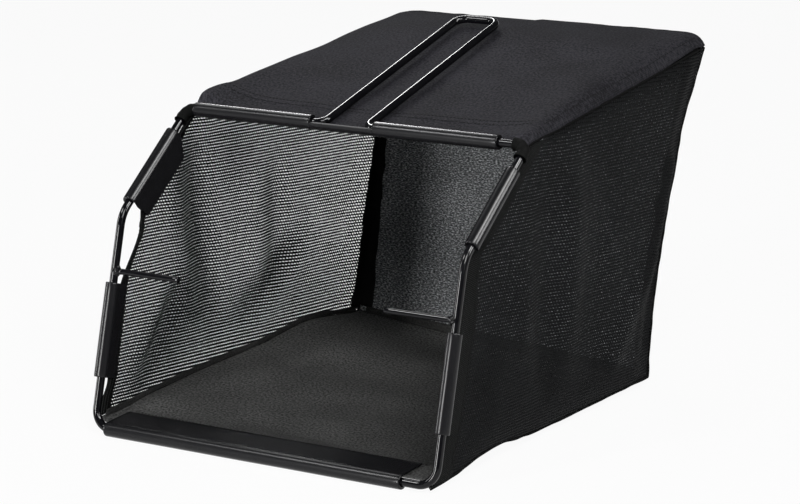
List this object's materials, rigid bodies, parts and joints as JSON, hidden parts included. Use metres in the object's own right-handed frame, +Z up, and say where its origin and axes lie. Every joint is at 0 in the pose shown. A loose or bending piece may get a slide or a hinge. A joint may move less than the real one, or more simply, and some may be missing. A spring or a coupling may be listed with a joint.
{
  "type": "grass collection bag",
  "caption": "Open-mouthed cloth and net catch bag on a bent steel rod frame with clip-on edge profiles, inward hook pins and a carrying loop over the top.",
  "frame": {"origin": "underside of the floor cloth, in the middle of its flat part between the mouth and the rear, on the bag's centre plane", "axes": "+Z up, -Y out of the mouth towards the machine, +Y along the bag's depth to the rear, +X to the right as seen from behind the mouth looking in"},
  "size_m": [0.3526, 0.4651, 0.3169],
  "materials": {
    "gloss_black_rod": "gloss black paint",
    "painted_pin": "gloss black paint over a weld bead",
    "black_profile": "satin extruded black plastic",
    "coated_cloth": "matt coated cloth, dark grey",
    "floor_cloth": "matt coated cloth, near black",
    "back_cloth": "dense woven cloth, dark grey",
    "net_cloth": "knitted open net, black",
    "binding_tape": "woven black binding tape"
  },
  "bodies": {
    "root": {"frame_rod": "gloss_black_rod", "left_hook_pin": "painted_pin", "right_hook_pin": "painted_pin", "top_profile": "black_profile", "bottom_profile": "black_profile", "left_upper_profile": "black_profile", "right_upper_profile": "black_profile", "left_lower_profile": "black_profile", "right_lower_profile": "black_profile", "top_panel": "coated_cloth", "floor_panel": "floor_cloth", "back_panel": "back_cloth", "left_net_panel": "net_cloth", "right_net_panel": "net_cloth", "left_mouth_hem": "binding_tape", "right_mouth_hem": "binding_tape", "left_rear_seam_tape": "binding_tape", "right_rear_seam_tape": "binding_tape", "left_floor_seam_tape": "binding_tape", "right_floor_seam_tape": "binding_tape", "left_top_seam_tape": "binding_tape", "right_top_seam_tape": "binding_tape", "rear_floor_seam_tape": "binding_tape", "rear_top_seam_tape": "binding_tape"}
  },
  "joints": []
}
